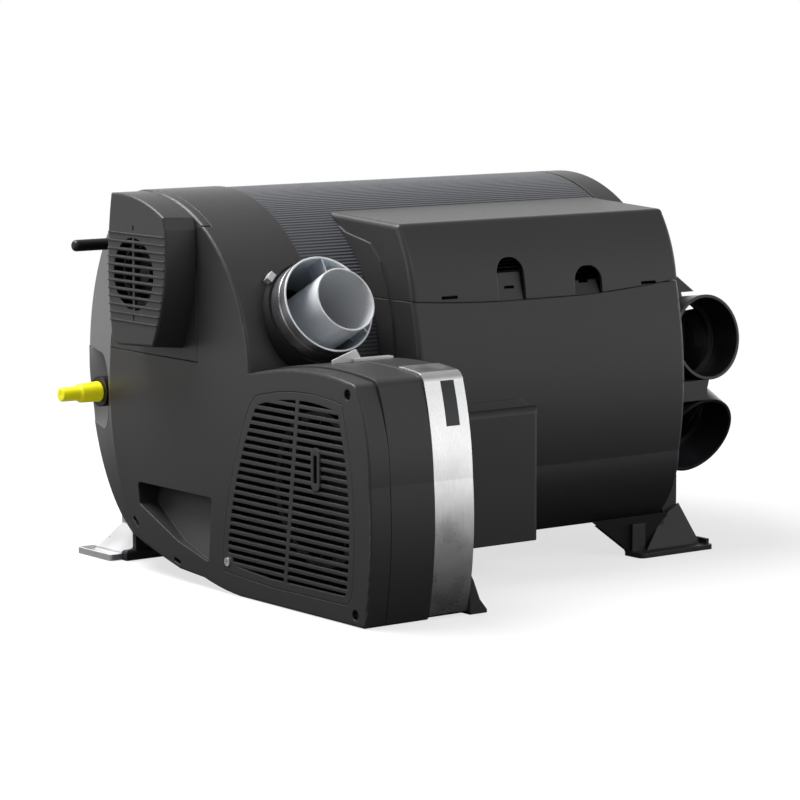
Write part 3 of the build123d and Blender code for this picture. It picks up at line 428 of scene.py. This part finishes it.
sheetFaces = np.stack([above, above + 1, below + 1, below], axis=-1).reshape(-1, 4)
rung = np.arange(rows // 2 - 1)  # faces across the thickness, up both ends
closeLeft = np.stack([rows - 1 - rung, rows - 2 - rung, rung + 1, rung], axis=-1) * columns
closeRight = closeLeft[:, ::-1] + columns - 1
capBack = meshPiece("cap_back_plate", loopRows, [sheetFaces, closeLeft, closeRight], [materials["moulding"]])
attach(capBack, "heater")
print("back plate made")

# Scoop lining: a dish in the oval cut of the bevel, open toward the drum, with a rim that laps the bevel.
# Rows rise as the sine of even steps. Columns turn round the oval front, then run straight to the drum.
# The dish lies under the bevel by the floor's depth, times a power of the sine of the turn, times a power
# of (1 less the square of the rise), and it never passes the floor.
scoop = {
    "middle": (0.3820, 0.1375), "half": (0.0304, 0.0316),  # y and z in the heater's drawing, as below
    "rows": 49, "columns": 72, "firstTurn": 0.08, "turnPower": 0.8, "risePower": 0.75,
    "lap": 0.0002, "thick": 0.0006, "drumRadius": 0.1404,
    "floor": ((0.342, 0.017), (0.428, 0.033)), "floorGap": 0.0008,  # a line through two points of (y, x)
    "cone": dict(centre=(0.120, 0.1485), radius=0.227, slope=0.037 / 0.093),
}


# How far back the bevel lies: the distance past the cone's base circle times the cone's slope
def bevelX(y, z):
    cone = scoop["cone"]
    reach = np.hypot(y - cone["centre"][0], z - cone["centre"][1])
    return np.maximum(reach - cone["radius"], 0) * cone["slope"]


middleY, middleZ = scoop["middle"]
halfY, halfZ = scoop["half"]
halfCount = scoop["columns"] // 2
rise = np.sin(np.linspace(-1, 1, scoop["rows"]) * np.pi / 2)[:, None]
turn = np.linspace(scoop["firstTurn"], np.pi / 2, halfCount)[None, :]
frontY = np.repeat(middleY - halfY * np.cos(turn), scoop["rows"], axis=0)
frontZ = middleZ + rise * halfZ * np.sin(turn)
sideZ = middleZ + rise * halfZ
drumHalf = np.sqrt(scoop["drumRadius"] ** 2 - (sideZ - drum["axisZ"]) ** 2)
drumY = drum["axisY"] - home[1] + drumHalf
sideY = middleY + (drumY - middleY) * np.linspace(0, 1, halfCount)[None, :]
gridY = np.concatenate([frontY, sideY[:, 1:]], axis=1)
gridZ = np.concatenate([frontZ, np.repeat(sideZ, halfCount - 1, axis=1)], axis=1)
turnShare = np.concatenate([np.sin(turn), np.ones((1, halfCount - 1))], axis=1)
(startY, startX), (endY, endX) = scoop["floor"]
floorX = startX + (gridY - startY) * (endX - startX) / (endY - startY) - scoop["floorGap"]
depth = floorX - bevelX(gridY, middleZ)
dish = depth * turnShare ** scoop["turnPower"] * np.maximum(1 - rise ** 2, 0) ** scoop["risePower"]
topX = np.minimum(bevelX(gridY, gridZ) - scoop["lap"] + dish, floorX)
upper, under = [np.stack([x, gridY, gridZ], axis=-1) + home for x in (topX, topX + scoop["thick"])]
rows, columns = topX.shape
row, column = np.meshgrid(np.arange(rows - 1), np.arange(columns - 1), indexing="ij")
here = row * columns + column
upperFaces = np.stack([here + columns, here + columns + 1, here + 1, here], axis=-1).reshape(-1, 4)
underFaces = upperFaces[:, ::-1] + rows * columns
border = np.concatenate([  # once round the grid
    np.arange(columns), np.arange(1, rows) * columns + columns - 1,
    (rows - 1) * columns + np.arange(columns - 2, -1, -1), np.arange(rows - 2, 0, -1) * columns,
])
follow = np.roll(border, -1)
borderFaces = np.stack([follow, follow + rows * columns, border + rows * columns, border], axis=-1)
liningPoints = np.concatenate([upper.reshape(-1, 3), under.reshape(-1, 3)])
liningFaces = [upperFaces, underFaces, borderFaces]
lining = meshPiece("scoop_lining", liningPoints, liningFaces, [materials["moulding"]])
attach(lining, "heater")
print("scoop lining made")

# Arm of the end foot: a sheet in front of the arm that closes the slit under the housing, black as painted
# shade where the arm lies in shadow, its outline of (x, z) set at two depths in Y
footArmShade = {
    "outline": ((0.3185, 0.0320), (0.3575, 0.0043), (0.3890, 0.0043), (0.3890, 0.0196), (0.3980, 0.0278),
                (0.4025, 0.0320)),
    "y": (0.1173, 0.1179),
}
corner = np.array(footArmShade["outline"])
sides = len(corner)
armPoints = [np.stack([corner[:, 0], np.full(sides, y), corner[:, 1]], axis=-1) + home for y in footArmShade["y"]]
step = np.arange(sides)
follow = (step + 1) % sides
armEdges = np.stack([step, step + sides, follow + sides, follow], axis=-1)
armFaces = [step[None], (step[::-1] + sides)[None], armEdges]
armShadeSheet = meshPiece("foot_arm_shade_sheet", np.concatenate(armPoints), armFaces, [materials["seal_rubber"]],
                     smooth=False)
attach(armShadeSheet, "heater")
print("foot arm made")

# Studio: pale floor, white sky for the camera, soft lamps above
studio = {
    "floorSize": 30.0,
    "floorHeight": -0.0005,
    "floorColor": (0.32, 0.32, 0.32),
    "speckScale": 14,
    "speckTone": 0.015,
    "floorGlow": 0.70,  # white that the camera sees in the floor beside the lit part
    "glowReach": (0.45, 1.5),  # metres over which the floor turns plain white
    "bounceColor": (0.06, 0.06, 0.06),  # what the floor sends back to the object
    "skyStrength": 0.22,
    "brightWay": (0.915, 0.40, 0),  # polished surfaces see the horizon brighter on this side
    "brightSpan": (-0.6, 1),
    "brightRange": (0.45, 1.8),
    "skySpan": (0.12, 0.60),  # heights between which the sky in polished metal goes from white to dim
    "zenithShine": 0.20,  # how bright polished metal sees the sky overhead
    "lamps": {  # place, aim, size, watts
        "topLamp": ((-0.7, 0.7, 2.0), (0, 0, 0.15), (1.6, 1.2), 72),
        "leftLamp": ((-2.1, 0.3, 0.5), (0, 0, 0.15), (1.0, 0.8), 5),
        "frontLamp": ((0.1, -2.6, 1.7), (0, 0, 0.15), (1.6, 1.0), 14),
    },
}


# How far a direction points toward the bright side: its level part, made one long, times the bright way
def brightSide(tree, direction):
    level = vectorOf(tree, "MULTIPLY", direction, (1, 1, 0))
    unit = vectorOf(tree, "NORMALIZE", level)
    toward = vectorOf(tree, "DOT_PRODUCT", unit, studio["brightWay"], output="Value")
    return rangeOf(tree, toward, studio["brightSpan"], studio["brightRange"])


# Floor: a matte sheet for light and shadow, plus a white glow for the camera that grows with distance
def floorMaterial(look):
    material, tree, shader, point = startMaterial("studioFloor")
    speck = noiseOf(tree, point, look["speckScale"], surface["grainDetail"])
    far = rangeOf(tree, vectorOf(tree, "LENGTH", point, output="Value"), look["glowReach"])
    near = blendOf(tree, speck, shaded(look["floorColor"], -look["speckTone"]), look["floorColor"])
    faded = blendOf(tree, far, near, (0, 0, 0))
    rays = addNode(tree, "ShaderNodeLightPath").outputs
    bounce = blendOf(tree, rays["Is Camera Ray"], look["bounceColor"], faded)
    feed(tree, shader.inputs["Base Color"], bounce)
    sided = mathOf(tree, "MULTIPLY", far, brightSide(tree, point))
    mirrored = mathOf(tree, "MULTIPLY", rays["Is Glossy Ray"], sided)  # metal sees only the far floor glow
    watched = mathOf(tree, "MAXIMUM", rays["Is Camera Ray"], mirrored)
    glow = mathOf(tree, "MULTIPLY", rangeOf(tree, far, (0, 1), (look["floorGlow"], 1.0)), watched)
    feed(tree, shader.inputs["Emission Strength"], glow)
    feed(tree, shader.inputs["Emission Color"], (1, 1, 1))
    feed(tree, shader.inputs["Roughness"], 1.0)
    feed(tree, shader.inputs["Specular IOR Level"], 0.0)
    return material


floorCorners = np.array([(-1, -1), (1, -1), (1, 1), (-1, 1)]) * studio["floorSize"] / 2
floorPoints = np.column_stack([floorCorners, np.full(len(floorCorners), studio["floorHeight"])])
floor = meshPiece("studioFloor", floorPoints, [np.arange(4)[None]], [floorMaterial(studio)], smooth=False)


# Set at a place with its own Z pointing away from the target and its X level
def aimed(place, target):
    back = np.array(place, float) - np.array(target, float)
    back /= np.linalg.norm(back)
    right = np.cross((0, 0, 1), back)
    right /= np.linalg.norm(right)
    up = np.cross(back, right)
    return Matrix([*np.column_stack([right, up, back, place]).tolist(), (0, 0, 0, 1)])


for name, (place, target, size, watts) in studio["lamps"].items():
    lamp = bpy.data.lights.new(name, "AREA")
    lamp.shape = "RECTANGLE"
    lamp.size, lamp.size_y = size
    lamp.energy = watts
    holder = bpy.data.objects.new(name, lamp)
    holder.matrix_world = aimed(place, target)
    bpy.context.scene.collection.objects.link(holder)

# Sky: dim for diffuse light and white for the camera; polished metal sees it white at the horizon and
# dim overhead
world = bpy.data.worlds.new("studioWorld")
world.use_nodes = True
sky = world.node_tree
rays = addNode(sky, "ShaderNodeLightPath").outputs
direction = addNode(sky, "ShaderNodeTexCoord").outputs["Generated"]
height = addNode(sky, "ShaderNodeSeparateXYZ")
feed(sky, height.inputs["Vector"], direction)
overhead = rangeOf(sky, height.outputs["Z"], studio["skySpan"], (1.0, studio["zenithShine"]))
shine = mathOf(sky, "MULTIPLY", overhead, brightSide(sky, direction))
polished = mathOf(sky, "MAXIMUM", rays["Is Glossy Ray"], rays["Is Transmission Ray"])
strength = blendOf(sky, polished, studio["skyStrength"], shine, "FLOAT")
background = sky.nodes["Background"]
feed(sky, background.inputs["Color"], (1, 1, 1))
feed(sky, background.inputs["Strength"], mathOf(sky, "MAXIMUM", strength, rays["Is Camera Ray"]))
bpy.context.scene.world = world
bpy.context.scene.view_settings.view_transform = "Standard"

# Camera where the photograph was taken from
photoView = {
    "place": (-1.67747, -2.18434, 0.49204), "azimuth": -37.25, "elevation": 7.52,
    "lens": 151.6, "sensor": 36.0, "reach": 100,
}
lens = bpy.data.cameras.new("photoCamera")
lens.lens = photoView["lens"]
lens.sensor_width = photoView["sensor"]
lens.clip_end = photoView["reach"]
camera = bpy.data.objects.new("photoCamera", lens)
azimuth, elevation = radians(photoView["azimuth"]), radians(photoView["elevation"])
level = np.cos(elevation)
back = np.array([np.sin(azimuth) * level, -np.cos(azimuth) * level, np.sin(elevation)])
camera.matrix_world = aimed(photoView["place"], np.array(photoView["place"]) - back)
bpy.context.scene.collection.objects.link(camera)
bpy.context.scene.camera = camera
print("studio and camera set")
